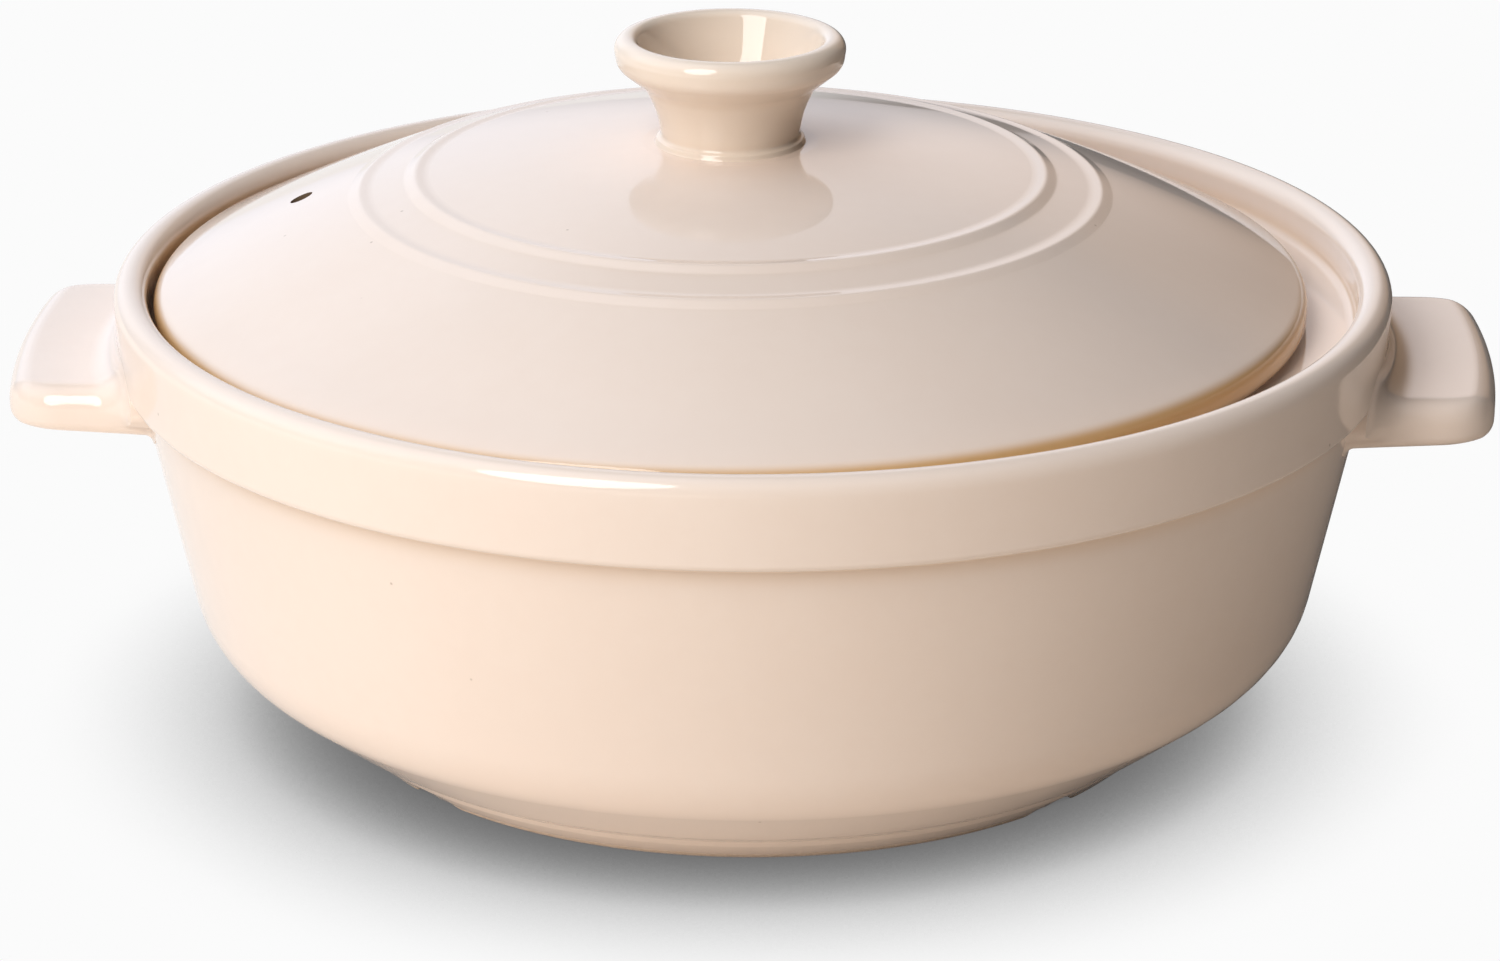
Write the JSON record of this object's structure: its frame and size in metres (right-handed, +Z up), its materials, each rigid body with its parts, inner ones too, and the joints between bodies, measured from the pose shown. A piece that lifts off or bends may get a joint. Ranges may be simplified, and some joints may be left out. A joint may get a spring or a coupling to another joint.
{
  "type": "clay pot",
  "caption": "Round glazed clay casserole with a thick collar, lug handles and a loose stepped lid that lifts off by a hollow flared knob.",
  "frame": {"origin": "centre of the foot ring, on the surface that the pot stands on", "axes": "+X towards the right handle, +Y away from the front, +Z up along the pot's axis"},
  "size_m": [0.294, 0.2514, 0.1372],
  "materials": {
    "cream_glaze": "high gloss",
    "warm_glaze": "high gloss"
  },
  "bodies": {
    "pot": {"pot_body": "cream_glaze", "handle_left": "cream_glaze", "handle_right": "cream_glaze"},
    "lid": {"lid_dome": "cream_glaze", "lid_knob": "warm_glaze"}
  },
  "joints": [
    {"name": "lid_lift", "type": "slide", "parent": "pot", "child": "lid", "axis": [0, 0, 1], "range_m": [0, 0.06]}
  ]
}
